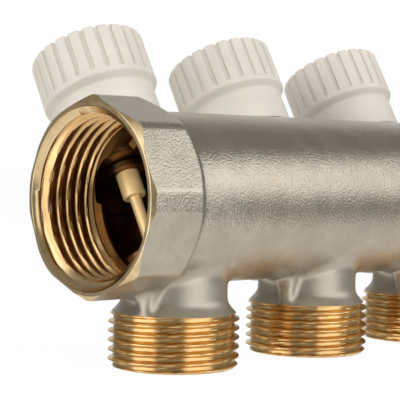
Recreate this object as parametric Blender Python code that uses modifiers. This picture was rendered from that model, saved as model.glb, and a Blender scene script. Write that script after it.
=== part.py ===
"""Underfloor heating manifold, three outlets, with a shut-off valve over each outlet.

Frame: metres, +Z up, origin under the middle of the bar's length, level with the
outlets' end faces.  Dimensions are in mm, counted from the middle of the octagonal
end's face: the bar runs away from it along +X, the outlets point down (-Z) and the
valves lean back, toward +Y.  DATUM is where that point lies in the frame.
"""

import math

import bmesh
import bpy
from mathutils import Matrix, Vector

MM = 0.001
OVERCUT = 1.0                     # how far a cutter runs past an open face

# ---------------------------------------------------------------- layout
END_X = 134.0                     # far end of the bar
OUT_Z = -32.8                     # end face of each outlet
DATUM = (-END_X / 2, -10.204, -OUT_Z)
OUTLET_PITCH = 38.0
OUTLETS = [22.1 + OUTLET_PITCH * k for k in range(3)]
LEAN = math.radians(29.3)         # valve axis, leaning back from vertical
VALVE_Y = 12.6                    # where a valve axis crosses the level of the bar axis

# Local Z of these frames runs along the bar, up an outlet axis, and up a valve axis.
BASE = Matrix.Translation([c * MM for c in DATUM])
ALONG = BASE @ Matrix.Rotation(math.pi / 2, 4, "Y")


def outlet_frame(x):
    return BASE @ Matrix.Translation((x * MM, 0, 0))


def valve_frame(x):
    return BASE @ Matrix.Translation((x * MM, VALVE_Y * MM, 0)) @ Matrix.Rotation(-LEAN, 4, "X")


# ---------------------------------------------------------------- scene and materials
for old in list(bpy.data.objects):
    bpy.data.objects.remove(old, do_unlink=True)

PARTS = bpy.data.collections.new("underfloor_heating_manifold")
CUTTERS = bpy.data.collections.new("cutters")
bpy.context.scene.collection.children.link(PARTS)
bpy.context.scene.collection.children.link(CUTTERS)

FINISHES = {
    "nickel_plated_brass": dict(colour=(0.52, 0.50, 0.45), roughness=0.42, metallic=1.0),
    "black_rubber": dict(colour=(0.02, 0.02, 0.022), roughness=0.6, metallic=0.0),
    "machined_brass": dict(colour=(0.74, 0.55, 0.28), roughness=0.28, metallic=1.0),
    "stainless_steel": dict(colour=(0.60, 0.60, 0.60), roughness=0.25, metallic=1.0),
    "epdm_rubber": dict(colour=(0.03, 0.03, 0.032), roughness=0.6, metallic=0.0),
    "white_plastic": dict(colour=(0.86, 0.82, 0.77), roughness=0.45, metallic=0.0),
}


def principled(name, colour, roughness, metallic):
    mat = bpy.data.materials.new(name)
    mat.use_nodes = True
    inputs = mat.node_tree.nodes["Principled BSDF"].inputs
    inputs["Base Color"].default_value = (*colour, 1.0)
    inputs["Roughness"].default_value = roughness
    inputs["Metallic"].default_value = metallic
    return mat


def material(finish, number=None):
    """A finish as a material; each valve has its own, marked with its number."""
    name = finish if number is None else "%s_%d" % (finish, number)
    return principled(name, **FINISHES[finish])


# ---------------------------------------------------------------- modelling helpers
def place(obj, matrix):
    PARTS.objects.link(obj)
    obj.matrix_world = matrix
    return obj


def adopt_active(name, matrix):
    """Name the primitive just added and move it to the parts."""
    obj = bpy.context.active_object
    obj.name = name
    for collection in list(obj.users_collection):
        collection.objects.unlink(obj)
    return place(obj, matrix)


def lathe(name, profile, matrix, steps, closed=False):
    """Profile of (radius, height), turned about the local Z axis.

    An open profile starts and ends on the axis; a closed one makes a ring.
    """
    count = len(profile)
    area = sum(
        r0 * z1 - r1 * z0
        for (r0, z0), (r1, z1) in zip(profile, profile[1:] + profile[:1])
    )
    if area > 0:                  # keeps the normals outward
        profile = profile[::-1]
    edges = [(k, k + 1) for k in range(count - 1)]
    if closed:
        edges.append((count - 1, 0))
    mesh = bpy.data.meshes.new(name)
    mesh.from_pydata([(r * MM, 0.0, z * MM) for r, z in profile], edges, [])
    obj = place(bpy.data.objects.new(name, mesh), matrix)
    screw = obj.modifiers.new("turn", "SCREW")
    screw.axis = "Z"
    screw.angle = math.tau
    screw.steps = steps
    screw.render_steps = steps
    screw.use_merge_vertices = True
    screw.merge_threshold = 0.00001
    screw.use_smooth_shade = True
    return obj


def seal_ring(name, radius, height, half_width, half_height, matrix, steps):
    """A ring of six-sided section, centred at (radius, height)."""
    section = []
    for k in range(6):
        angle = k * math.tau / 6
        section.append((radius + half_width * math.cos(angle),
                        height + half_height * math.sin(angle)))
    return lathe(name, section, matrix, steps, closed=True)


def prism(name, sides, radius, low, top, matrix, phase=0.0):
    """A prism about local Z, turned by the angle `phase`."""
    bpy.ops.mesh.primitive_cylinder_add(
        vertices=sides, radius=radius * MM, depth=(top - low) * MM)
    obj = adopt_active(name, matrix)
    lift = Matrix.Translation((0, 0, (low + top) / 2 * MM))
    obj.data.transform(lift @ Matrix.Rotation(phase, 4, "Z"))
    return obj


def boolean(obj, other, operation):
    """Join or cut with `other`, which becomes a hidden helper."""
    modifier = obj.modifiers.new(operation.lower() + "_" + other.name, "BOOLEAN")
    modifier.operation = operation
    modifier.solver = "EXACT"
    modifier.object = other
    PARTS.objects.unlink(other)
    CUTTERS.objects.link(other)
    other.hide_render = True
    other.display_type = "WIRE"


def finish(obj, mat):
    obj.data.materials.append(mat)


def ridges(start, end, major, minor, count):
    """A thread drawn as `count` plain rings: (radius, height) points from start to end."""
    pitch = (end - start) / count
    points = []
    for k in range(count):
        points.append((minor, start + pitch * (k + 0.05)))
        points.append((major, start + pitch * (k + 0.5)))
    points.append((minor, end))
    return points


# ---------------------------------------------------------------- bar and its octagonal end
BAR_R = 16.8
BAR_START = 6.0                   # inside the octagon
SHOULDER_X = 117.0                # far end: shoulder, O-ring groove, G1 male thread
SHOULDER_R = 17.6
SHOULDER_RISE = 0.6               # length of the slope up to the shoulder
GROOVE_X = SHOULDER_X + 3.0
GROOVE_R = 15.2
G1_MAJOR_R, G1_MINOR_R = 16.62, 15.15
MALE_START, MALE_END = SHOULDER_X + 5.2, END_X - 1.4
END_R = 15.3
RING_WIRE_R = 1.1                 # end O-ring
RING_R = 15.5 + RING_WIRE_R
RING_X = SHOULDER_X + 4.4

OCT_A = 17.95                     # octagon, across flats / 2
OCT_ROUND = 3.0                   # its rounded corners
OCT_SHIFT = (-0.2, 0.2)           # its offset (Y, Z) from the bar axis
OCT_LAND = 18.85                  # narrow flat on the -Y side
OCT_BACK = 12.7                   # where the 45 degree back meets the flats
OCT_LENGTH = OCT_BACK + 2.4
FACE_R = 18.0                     # outer edge of the turned end face
OCT_CLEAR_R = 20.2                # turning profile, clear of the corners
OCT_BACK_R = 16.3                 # inner edge of the 45 degree back


def bar_blank():
    return lathe(
        "manifold_bar",
        [(0, BAR_START), (BAR_R, BAR_START), (BAR_R, SHOULDER_X),
         (SHOULDER_R, SHOULDER_X + SHOULDER_RISE), (SHOULDER_R, GROOVE_X),
         (GROOVE_R, GROOVE_X), (GROOVE_R, MALE_START)]
        + ridges(MALE_START, MALE_END, G1_MAJOR_R, G1_MINOR_R, 4)
        + [(END_R, END_X), (0, END_X)],
        ALONG, 36,
    )


def octagon_outline():
    """(y, z) points, four to each rounded corner."""
    outline = []
    centre = (OCT_A - OCT_ROUND) / math.cos(math.pi / 8)
    for k in range(8):
        corner = k * math.pi / 4
        for j in range(4):
            angle = corner + (j / 3 - 0.5) * math.pi / 4
            y = centre * math.cos(corner) + OCT_ROUND * math.cos(angle) + OCT_SHIFT[0]
            z = centre * math.sin(corner) + OCT_ROUND * math.sin(angle) + OCT_SHIFT[1]
            outline.append((max(y, -OCT_LAND), z))
    return outline


def octagonal_end():
    outline = octagon_outline()
    count = len(outline)
    verts = [(x * MM, y * MM, z * MM) for x in (0.0, OCT_LENGTH) for y, z in outline]
    faces = [tuple(reversed(range(count))), tuple(range(count, 2 * count))]
    for k in range(count):
        after = (k + 1) % count
        faces.append((k, after, count + after, count + k))
    mesh = bpy.data.meshes.new("octagon")
    mesh.from_pydata(verts, [], faces)
    octagon = place(bpy.data.objects.new("octagon", mesh), BASE)

    back_sum = OCT_BACK + OCT_A   # radius + distance along the 45 degree back
    turning = lathe(
        "octagon_turning",
        [(0, -OVERCUT), (FACE_R, -OVERCUT), (FACE_R, 0.0), (OCT_CLEAR_R, OCT_CLEAR_R - FACE_R),
         (OCT_CLEAR_R, back_sum - OCT_CLEAR_R), (OCT_BACK_R, back_sum - OCT_BACK_R),
         (0, back_sum - OCT_BACK_R)],
        ALONG, 32,
    )
    boolean(octagon, turning, "INTERSECT")
    return octagon


# ---------------------------------------------------------------- outlet necks and chambers
G34_MAJOR_R, G34_MINOR_R = 13.22, 12.06
NECK_ROOT = [(0, -8.0), (12.6, -8.0), (11.8, -13.6), (10.6, -15.6)]  # (radius, z) under the bar
NECK_R = 10.4
FLARE = 1.6                       # 45 degree flare at the foot of the neck
FLARE_Z = -20.3
COLLAR_Z = FLARE_Z - FLARE        # lower edge of the flare, top of the outlet thread
OUT_TIP = [(12.2, OUT_Z + 0.5), (11.9, OUT_Z), (0, OUT_Z)]  # (radius, z) below the thread

FIN_IN, FIN_OUT = 8.4, 12.5       # fin on each neck, from the outlet axis
FIN_WIDE, FIN_NARROW = 4.0, 2.0   # width at the top and at the foot
FIN_LOW, FIN_TOP = COLLAR_Z + 0.15, -12.0
FIN_TURN = math.radians(200.3)    # the way it points, from +X

CHAMBER_R = 11.3                  # heights of the chamber are along the valve axis
CHAMBER_LOW, CHAMBER_TOP = -16.0, 10.9
CHAMBER_TOP_BEVEL, CHAMBER_LOW_BEVEL = 0.4, 1.5


def neck(number, x):
    return lathe(
        "neck_%d" % number,
        NECK_ROOT + [(NECK_R, FLARE_Z), (NECK_R + FLARE, COLLAR_Z)]
        + ridges(COLLAR_Z - 0.1, OUT_Z + 1.1, G34_MAJOR_R, G34_MINOR_R, 5)
        + OUT_TIP,
        outlet_frame(x), 22,
    )


def chamber(number, x):
    return lathe(
        "chamber_%d" % number,
        [(0, CHAMBER_TOP), (CHAMBER_R - CHAMBER_TOP_BEVEL, CHAMBER_TOP),
         (CHAMBER_R, CHAMBER_TOP - CHAMBER_TOP_BEVEL),
         (CHAMBER_R, CHAMBER_LOW + CHAMBER_LOW_BEVEL),
         (CHAMBER_R - CHAMBER_LOW_BEVEL, CHAMBER_LOW), (0, CHAMBER_LOW)],
        valve_frame(x), 24,
    )


def fin(number, x):
    bpy.ops.mesh.primitive_cube_add(size=1.0)
    obj = adopt_active("fin_%d" % number, outlet_frame(x) @ Matrix.Rotation(FIN_TURN, 4, "Z"))
    for vertex in obj.data.vertices:
        at_foot = vertex.co.z < 0
        half_width = (FIN_NARROW if at_foot else FIN_WIDE) / 2
        vertex.co = Vector((
            (FIN_IN if vertex.co.x < 0 else FIN_OUT) * MM,
            math.copysign(half_width, vertex.co.y) * MM,
            (FIN_LOW if at_foot else FIN_TOP) * MM,
        ))
    return obj


# ---------------------------------------------------------------- bores in the bar
BORE_R = 13.0                     # main water way
FEM_SINK_R = 17.2                 # countersink at the mouth of the G1 female thread
FEM_SINK_X = 0.35
FEM_START, FEM_END = 1.7, 13.2
FEM_LAND = 14.8
FEM_UNDER_R = 14.6                # between the thread and the water way
FEM_STEP = 18.0
STEP_LENGTH = 0.4                 # length of the cones on both sides of it
TAIL_R = 12.4                     # narrower bore inside the male thread
TAIL_MOUTH = 0.8

CH_BORE_R = 8.5                   # valve chamber bore, heights along the valve axis
CH_MOUTH_R = CH_BORE_R + 0.5
CH_BORE_LOW = 0.0
CH_STEP = 0.8
CH_SMALL_R = 7.4
SEAT_R = 4.8
SEAT_BEVEL = 0.3
SEAT_H, SEAT_LOW = -19.0, -27.0

OUT_BORE_R = 7.6
OUT_BORE_TOP = -20.6
OUT_TIP_RISE = 2.6                # cone at the top of the outlet bore
OUT_CONE_R = 9.4                  # eurocone mouth
OUT_CONE_DEPTH = 4.4


def water_way():
    return lathe(
        "water_way",
        [(0, -OVERCUT), (FEM_SINK_R, -OVERCUT), (FEM_SINK_R, FEM_SINK_X),
         (G1_MINOR_R + 0.5, FEM_START)]
        + ridges(FEM_START, FEM_END, G1_MAJOR_R - 0.05, G1_MINOR_R, 4)
        + [(G1_MINOR_R, FEM_END + 0.1), (G1_MINOR_R, FEM_LAND),
           (FEM_UNDER_R, FEM_LAND + STEP_LENGTH), (FEM_UNDER_R, FEM_STEP),
           (BORE_R, FEM_STEP + STEP_LENGTH), (BORE_R, SHOULDER_X - 3.0),
           (TAIL_R, SHOULDER_X - 2.0), (TAIL_R, END_X - TAIL_MOUTH),
           (BORE_R, END_X), (BORE_R, END_X + OVERCUT), (0, END_X + OVERCUT)],
        ALONG, 28,
    )


def chamber_bore(number, x):
    return lathe(
        "chamber_bore_%d" % number,
        [(0, CHAMBER_TOP + OVERCUT), (CH_MOUTH_R, CHAMBER_TOP + OVERCUT),
         (CH_MOUTH_R, CHAMBER_TOP - 0.1), (CH_BORE_R, CHAMBER_TOP - 0.7),
         (CH_BORE_R, CH_BORE_LOW), (CH_SMALL_R, CH_BORE_LOW - CH_STEP), (CH_SMALL_R, SEAT_H),
         (SEAT_R + SEAT_BEVEL, SEAT_H), (SEAT_R, SEAT_H - SEAT_BEVEL),
         (SEAT_R, SEAT_LOW), (0, SEAT_LOW)],
        valve_frame(x), 20,
    )


def outlet_bore(number, x):
    return lathe(
        "outlet_bore_%d" % number,
        [(0, OUT_BORE_TOP + OUT_TIP_RISE), (OUT_BORE_R, OUT_BORE_TOP),
         (OUT_BORE_R, OUT_Z + OUT_CONE_DEPTH), (OUT_CONE_R, OUT_Z),
         (OUT_CONE_R, OUT_Z - OVERCUT), (0, OUT_Z - OVERCUT)],
        outlet_frame(x), 18,
    )


def manifold_bar():
    """All metal is joined before anything is bored, so no joint blocks a bore."""
    bar = bar_blank()
    boolean(bar, octagonal_end(), "UNION")
    for number, x in enumerate(OUTLETS, 1):
        for part in (neck, chamber, fin):
            boolean(bar, part(number, x), "UNION")
    boolean(bar, water_way(), "DIFFERENCE")
    for number, x in enumerate(OUTLETS, 1):
        for bore in (chamber_bore, outlet_bore):
            boolean(bar, bore(number, x), "DIFFERENCE")
    finish(bar, material("nickel_plated_brass"))


def end_o_ring():
    ring = seal_ring("end_o_ring", RING_R, RING_X, RING_WIRE_R, RING_WIRE_R, ALONG, 24)
    finish(ring, material("black_rubber"))


# ---------------------------------------------------------------- valve inserts
# Heights of every valve part are along the valve axis.
STEM_R = 1.2
STEM_BORE_R = 1.6
STEM_CLEAR = 0.35                 # round the stem, in the retainer and the disc

INSERT_BODY_R = 8.2
INSERT_LOW, INSERT_TOP = 7.0, 26.0
INSERT_BODY_TOP = CHAMBER_TOP - 1.0
INSERT_WAIST_R = 6.8
HEX_LOW, HEX_TOP = 11.6, 13.6
HEX_R = 9.55
HEX_CORE_R = 7.2
HEX_INSET = 0.6                   # core ends this far inside the hexagon
INSERT_TUBE_R = 8.0
TUBE_BEVEL, BODY_BEVEL = 0.5, 0.4
SPRING_WELL_R = 5.2
SPRING_WELL_LOW = 12.0
GLAND_R = 2.75
GLAND_TOP = 10.4


def valve_insert(number, at, brass):
    insert = lathe(
        "valve_insert_%d" % number,
        [(0, INSERT_TOP), (INSERT_TUBE_R - TUBE_BEVEL, INSERT_TOP),
         (INSERT_TUBE_R, INSERT_TOP - TUBE_BEVEL), (INSERT_TUBE_R, HEX_TOP - HEX_INSET),
         (HEX_CORE_R, HEX_TOP - HEX_INSET), (HEX_CORE_R, HEX_LOW + HEX_INSET),
         (INSERT_WAIST_R, HEX_LOW), (INSERT_WAIST_R, CHAMBER_TOP - 0.6),
         (INSERT_BODY_R, INSERT_BODY_TOP), (INSERT_BODY_R, INSERT_LOW + BODY_BEVEL),
         (INSERT_BODY_R - BODY_BEVEL, INSERT_LOW), (0, INSERT_LOW)],
        at, 20,
    )
    boolean(insert, prism("insert_hex_%d" % number, 6, HEX_R, HEX_LOW, HEX_TOP, at), "UNION")
    bore = lathe(
        "insert_bore_%d" % number,
        [(0, INSERT_TOP + OVERCUT), (SPRING_WELL_R, INSERT_TOP + OVERCUT),
         (SPRING_WELL_R, SPRING_WELL_LOW), (STEM_BORE_R, SPRING_WELL_LOW),
         (STEM_BORE_R, GLAND_TOP), (GLAND_R, GLAND_TOP),
         (GLAND_R, INSERT_LOW - OVERCUT), (0, INSERT_LOW - OVERCUT)],
        at, 16,
    )
    boolean(insert, bore, "DIFFERENCE")
    finish(insert, brass)


def insert_o_ring(number, at, rubber):
    finish(seal_ring("insert_o_ring_%d" % number, radius=7.9, height=11.05,
                     half_width=0.75, half_height=0.42, matrix=at, steps=16), rubber)


def stem_o_ring(number, at, rubber):
    finish(seal_ring("stem_o_ring_%d" % number, radius=2.06, height=9.4,
                     half_width=0.5, half_height=0.6, matrix=at, steps=12), rubber)


# ---------------------------------------------------------------- stem, its guide and spring
GUIDE_R = 2.4
GUIDE_LOW, GUIDE_TOP = -0.4, 8.4
GUIDE_LOW_BEVEL, GUIDE_TOP_BEVEL = 0.4, 0.2
COLLAR_R = 3.88                   # collar of the guide, just under the insert
COLLAR_LOW, COLLAR_TOP = 5.3, 6.7
STEM_LOW = -13.3
STEM_BEVEL = 0.3
HEAD_R = 3.0
HEAD_LOW, HEAD_TOP = 24.8, 26.6
RETAINER_R = 4.6
RETAINER_LOW, RETAINER_TOP = 23.7, 24.5
SPRING_R = 3.5
SPRING_WIRE_R = 0.42
SPRING_LOW, SPRING_TOP = 12.3, 23.4
SPRING_TURNS = 5
POINTS_PER_TURN = 10


def stem_guide(number, at, brass):
    finish(lathe(
        "stem_guide_%d" % number,
        [(GUIDE_R - GUIDE_TOP_BEVEL, GUIDE_TOP), (GUIDE_R, GUIDE_TOP - GUIDE_TOP_BEVEL),
         (GUIDE_R, COLLAR_TOP), (COLLAR_R, COLLAR_TOP),
         (COLLAR_R, COLLAR_LOW), (GUIDE_R, COLLAR_LOW),
         (GUIDE_R, GUIDE_LOW + GUIDE_LOW_BEVEL), (GUIDE_R - GUIDE_LOW_BEVEL, GUIDE_LOW),
         (STEM_BORE_R, GUIDE_LOW), (STEM_BORE_R, GUIDE_TOP)],
        at, 14, closed=True,
    ), brass)


def stem(number, at, brass):
    finish(lathe(
        "stem_%d" % number,
        [(0, HEAD_TOP), (HEAD_R - 0.6, HEAD_TOP), (HEAD_R, HEAD_TOP - 0.4), (HEAD_R, HEAD_LOW),
         (STEM_R, HEAD_LOW), (STEM_R, STEM_LOW + STEM_BEVEL),
         (STEM_R - STEM_BEVEL, STEM_LOW), (0, STEM_LOW)],
        at, 12,
    ), brass)


def spring_retainer(number, at, steel):
    hole_r = STEM_R + STEM_CLEAR
    finish(lathe(
        "spring_retainer_%d" % number,
        [(RETAINER_R, RETAINER_TOP), (RETAINER_R, RETAINER_LOW),
         (hole_r, RETAINER_LOW), (hole_r, RETAINER_TOP)],
        at, 16, closed=True,
    ), steel)


def return_spring(number, at, steel):
    name = "return_spring_%d" % number
    curve = bpy.data.curves.new(name, "CURVE")
    curve.dimensions = "3D"
    curve.bevel_depth = SPRING_WIRE_R * MM
    curve.bevel_resolution = 0
    curve.use_fill_caps = True
    line = curve.splines.new("POLY")
    total = SPRING_TURNS * POINTS_PER_TURN
    line.points.add(total)
    low = SPRING_LOW + SPRING_WIRE_R
    high = SPRING_TOP - SPRING_WIRE_R
    for k in range(total + 1):
        angle = k * math.tau / POINTS_PER_TURN
        x, y = SPRING_R * math.cos(angle), SPRING_R * math.sin(angle)
        z = low + (high - low) * k / total
        line.points[k].co = (x * MM, y * MM, z * MM, 1.0)
    finish(place(bpy.data.objects.new(name, curve), at), steel)


# ---------------------------------------------------------------- disc and seat seal
DISC_R = 6.6
DISC_LOW, DISC_TOP = -15.9, -11.0
DISC_FLOOR = -13.7                # bottom of the hole for the stem
HUB_R, HUB_LOW, HUB_BEVEL = 3.0, -12.6, 0.4
RIM_TOP = -13.0
RECESS_R, RECESS_TOP = 5.9, -14.3  # underside, round the seal
SEAL_R = 5.6
SEAL_LOW, SEAL_TOP = -16.4, -14.6


def valve_disc(number, at, brass):
    disc = lathe(
        "valve_disc_%d" % number,
        [(0, DISC_TOP), (HUB_R - HUB_BEVEL, DISC_TOP), (HUB_R, DISC_TOP - HUB_BEVEL),
         (HUB_R, HUB_LOW), (DISC_R, RIM_TOP), (DISC_R, DISC_LOW),
         (RECESS_R, DISC_LOW), (RECESS_R, RECESS_TOP), (0, RECESS_TOP)],
        at, 18,
    )
    hole = prism("disc_hole_%d" % number, 12, STEM_R + STEM_CLEAR,
                 DISC_FLOOR, DISC_TOP + OVERCUT, at)
    boolean(disc, hole, "DIFFERENCE")
    finish(disc, brass)


def seat_seal(number, at, rubber):
    finish(lathe(
        "seat_seal_%d" % number,
        [(0, SEAL_TOP), (SEAL_R, SEAL_TOP), (SEAL_R, SEAL_LOW), (0, SEAL_LOW)],
        at, 18,
    ), rubber)


# ---------------------------------------------------------------- fluted caps
CAP_R = 12.06
CAP_LOW, CAP_TOP = 13.9, 33.7
CAP_EDGE = [(0.75, 0.0), (0.2, 0.3), (0.0, 0.8)]  # rounded top edge: (in from CAP_R, down)
SKIRT_R, SKIRT_BORE_R = 10.9, 9.9
SKIRT_CONE_LOW, SKIRT_CONE_TOP = 16.7, 17.2       # inside, from skirt bore to cap bore
FLANGE_H = 22.7                   # lower edge of the fluted part
UNDER_H = 21.5                    # where its sloping underside meets the skirt
CAP_BORE_R = 8.35
CAP_ROOF = 31.6                   # inside, and the post that presses on the stem
POST_R = 3.2
POST_LOW = 27.0
FLUTES = 24
FLUTE_R = 0.95
FLUTE_OUT = 0.55                  # flute axes lie this far outside CAP_R
FLUTE_LOW = FLANGE_H + 1.2
FLUTE_TURN = (2.6, 1.1, 8.7)      # how far each cap is turned, degrees


def flutes(name, matrix):
    """Slim upright rods round the cap, one per flute, as a single cutter."""
    rods = prism(name, 6, FLUTE_R, FLUTE_LOW, CAP_TOP + OVERCUT, matrix, math.pi / 6)
    rods.data.transform(Matrix.Translation(((CAP_R + FLUTE_OUT) * MM, 0, 0)))
    ring = bmesh.new()
    for k in range(FLUTES):
        rod = rods.data.copy()
        rod.transform(Matrix.Rotation(k * math.tau / FLUTES, 4, "Z"))
        ring.from_mesh(rod)
        bpy.data.meshes.remove(rod)
    ring.to_mesh(rods.data)
    ring.free()
    return rods


def valve_cap(number, at, plastic):
    turned = at @ Matrix.Rotation(math.radians(FLUTE_TURN[number - 1]), 4, "Z")
    cap = lathe(
        "valve_cap_%d" % number,
        [(0, CAP_TOP)] + [(CAP_R - inset, CAP_TOP - drop) for inset, drop in CAP_EDGE]
        + [(CAP_R, FLANGE_H), (SKIRT_R, UNDER_H), (SKIRT_R, CAP_LOW), (0, CAP_LOW)],
        turned, FLUTES,
    )
    boolean(cap, flutes("flutes_%d" % number, turned), "DIFFERENCE")
    bore = lathe(
        "cap_bore_%d" % number,
        [(0, POST_LOW), (POST_R, POST_LOW), (POST_R, CAP_ROOF), (CAP_BORE_R, CAP_ROOF),
         (CAP_BORE_R, SKIRT_CONE_TOP), (SKIRT_BORE_R, SKIRT_CONE_LOW),
         (SKIRT_BORE_R, CAP_LOW - OVERCUT), (0, CAP_LOW - OVERCUT)],
        at, 20,
    )
    boolean(cap, bore, "DIFFERENCE")
    finish(cap, plastic)


# ---------------------------------------------------------------- assembly
def valve(number, x):
    at = valve_frame(x)
    brass = material("machined_brass", number)
    steel = material("stainless_steel", number)
    rubber = material("epdm_rubber", number)
    valve_insert(number, at, brass)
    insert_o_ring(number, at, rubber)
    stem_guide(number, at, brass)
    stem_o_ring(number, at, rubber)
    stem(number, at, brass)
    spring_retainer(number, at, steel)
    return_spring(number, at, steel)
    valve_disc(number, at, brass)
    seat_seal(number, at, rubber)
    valve_cap(number, at, material("white_plastic", number))


manifold_bar()
end_o_ring()
for valve_number, outlet_x in enumerate(OUTLETS, 1):
    valve(valve_number, outlet_x)
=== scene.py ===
"""Brass manifold bar with three capped valves and three threaded outlets.

The bar runs along +X from an octagonal inlet end to a threaded far end. The outlets point
down (-Z); the valves lean from +Z towards +Y. The camera looks from -X, -Y.
"""

import math

import bmesh
import bpy
import numpy as np
import openvdb
from mathutils import Matrix, Vector


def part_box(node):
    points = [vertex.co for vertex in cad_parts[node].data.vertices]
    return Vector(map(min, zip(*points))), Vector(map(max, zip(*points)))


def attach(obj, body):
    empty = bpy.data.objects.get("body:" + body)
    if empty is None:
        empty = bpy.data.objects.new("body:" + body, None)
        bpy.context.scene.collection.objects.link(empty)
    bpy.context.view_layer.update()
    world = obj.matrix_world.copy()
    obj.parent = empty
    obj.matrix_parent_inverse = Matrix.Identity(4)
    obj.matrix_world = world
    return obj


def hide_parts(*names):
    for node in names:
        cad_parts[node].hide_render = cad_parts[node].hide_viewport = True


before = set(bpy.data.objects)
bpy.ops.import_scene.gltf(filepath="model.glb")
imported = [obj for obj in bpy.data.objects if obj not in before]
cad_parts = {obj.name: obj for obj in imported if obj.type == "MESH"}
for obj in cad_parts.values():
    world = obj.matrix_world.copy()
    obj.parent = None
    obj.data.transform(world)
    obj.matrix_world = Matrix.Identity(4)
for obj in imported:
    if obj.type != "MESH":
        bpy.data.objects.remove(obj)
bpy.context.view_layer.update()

# ------------------------------------------------------------------ main sizes
# Lengths are mm from the middle of the octagonal end's face; DATUM moves them
# into the row frame. Object names and lights use metres.
MM = 0.001
OUT_Z = -32.8                          # lower face of the outlets
END_X = 134.0                          # far end of the bar
SHOULDER_X = 117.0                     # where the plated bar ends
BAR_R = 16.8
OCT_A, OCT_ROUND = 17.95, 3.0          # octagon: across flats / 2, corner radius
OCT_SHIFT = (-0.2, 0.2)                # y, z of the octagon's middle, off the turned bore
OCT_LAND = 18.85                       # narrow land where the flash was trimmed
OUTLETS = [22.1 + 38.0 * i for i in range(3)]
LEAN = math.radians(29.3)              # valve axis, from +Z towards +Y
LEAN_SIN, LEAN_COS = math.sin(LEAN), math.cos(LEAN)
VALVE_Y = 12.6                         # where the valve axis crosses the bar's mid-height
FLARE_Z, COLLAR_Z = -20.3, -21.9       # outlet neck: start of the flare, turned edge
FIN_TURN = math.radians(200.3)         # direction of the neck fins, from +X about Z

# threads
G1_MAJOR, G1_MINOR, G1_PITCH = 16.60, 15.15, 2.309
G34_MAJOR, G34_MINOR, G34_PITCH = 12.85, 11.85, 1.814
CAP_PITCH = 1.25                       # cap and insert

# mesh fineness
STEPS = 224          # round the bar's turned parts
PER_TURN = 16          # stations per thread pitch, bar
FINE_STATIONS = 10     # stations per unit of thread, cap and insert
GRID = 0.36          # forging grid

bar_low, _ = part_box("manifold_bar")
DATUM = Vector((bar_low.x * 1000, bar_low.y * 1000 + OCT_LAND, bar_low.z * 1000 - OUT_Z))
BASE = Matrix.Translation(DATUM * MM)
ALONG = BASE @ Matrix.Rotation(math.pi / 2, 4, "Y")    # local Z along the bar


def outlet_frame(x):
    return BASE @ Matrix.Translation((x * MM, 0, 0))


def valve_frame(x):
    place = Matrix.Translation((x * MM, VALVE_Y * MM, 0))
    return BASE @ place @ Matrix.Rotation(-LEAN, 4, "X")


# ------------------------------------------------------------------ profiles
def rounded(points, radius, count=5):
    """Round the corners of an open (radius, height) polyline.

    `radius` is one number, or a list with an entry for each point.
    """
    points = [np.array(point, float) for point in points]
    out = [points[0]]
    for i in range(1, len(points) - 1):
        wanted = radius[i] if isinstance(radius, (list, tuple)) else radius
        corner = points[i]
        back, ahead = points[i - 1] - corner, points[i + 1] - corner
        back_length, ahead_length = np.linalg.norm(back), np.linalg.norm(ahead)
        cut = min(wanted, back_length * 0.45, ahead_length * 0.45)
        if cut < 1e-4:
            out.append(corner)
            continue
        start = corner + back / back_length * cut
        end = corner + ahead / ahead_length * cut
        for t in np.linspace(0, 1, count):
            out.append((1 - t) ** 2 * start + 2 * t * (1 - t) * corner + t * t * end)
    out.append(points[-1])
    return np.array(out)


def circle_loop(radius, height, half_width, half_height, count=14):
    t = np.arange(count) * math.tau / count
    return np.stack([radius + half_width * np.cos(t), height + half_height * np.sin(t)], -1)


def revolved(profile, steps):
    """(radius, height) points as radii and heights, a row per point, a column per angle."""
    profile = np.asarray(profile, float)
    return np.repeat(profile[:, :1], steps, 1), np.repeat(profile[:, 1:], steps, 1)


def joined(*parts):
    """Put (radii, heights) parts end to end; heights may be one per row."""
    radii = np.vstack([r for r, _ in parts])
    heights = np.vstack([np.broadcast_to(np.reshape(h, (len(r), -1)), r.shape)
                         for r, h in parts])
    return radii, heights


def ease(t):
    t = np.clip(t, 0, 1)
    return t * t * (3 - 2 * t)


def screw_thread(phase, crest=0.10, root=0.10):
    """A V thread's height, 0 at the root and 1 at the crest, for a phase in turns."""
    t = 1 - np.abs(2 * (phase % 1.0) - 1)
    t = np.clip((t - root) / (1 - root - crest), 0, 1)
    return ease(t) * 0.35 + t * 0.65


# ------------------------------------------------------------------ mesh tools
def new_object(name, points, faces, matrix, materials=()):
    """Points in mm in the frame `matrix`; faces are a list, or an array of equal faces."""
    mesh = bpy.data.meshes.new(name)
    points = np.asarray(points, np.float64) * MM
    if isinstance(faces, np.ndarray):
        count, corners = faces.shape
        mesh.vertices.add(len(points))
        mesh.vertices.foreach_set("co", points.astype(np.float32).ravel())
        mesh.loops.add(count * corners)
        mesh.loops.foreach_set("vertex_index", faces.astype(np.int32).ravel())
        mesh.polygons.add(count)
        starts = np.arange(0, count * corners, corners, dtype=np.int32)
        mesh.polygons.foreach_set("loop_start", starts)
        mesh.polygons.foreach_set("loop_total", np.full(count, corners, np.int32))
        mesh.update(calc_edges=True)
        mesh.validate()
    else:
        mesh.from_pydata(points.tolist(), [], faces)
    mesh.transform(matrix)
    obj = bpy.data.objects.new(name, mesh)
    bpy.context.scene.collection.objects.link(obj)
    for material in materials:
        mesh.materials.append(material)
    return obj


def grid_quads(rows, columns, closed=False):
    """Quads over a grid whose columns wrap round, and its rows too if `closed`."""
    i = np.arange(rows if closed else rows - 1)[:, None]
    j = np.arange(columns)[None, :]
    next_i, next_j = (i + 1) % rows, (j + 1) % columns
    return np.stack([i * columns + j, i * columns + next_j,
                     next_i * columns + next_j, next_i * columns + j], -1).reshape(-1, 4)


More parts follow.
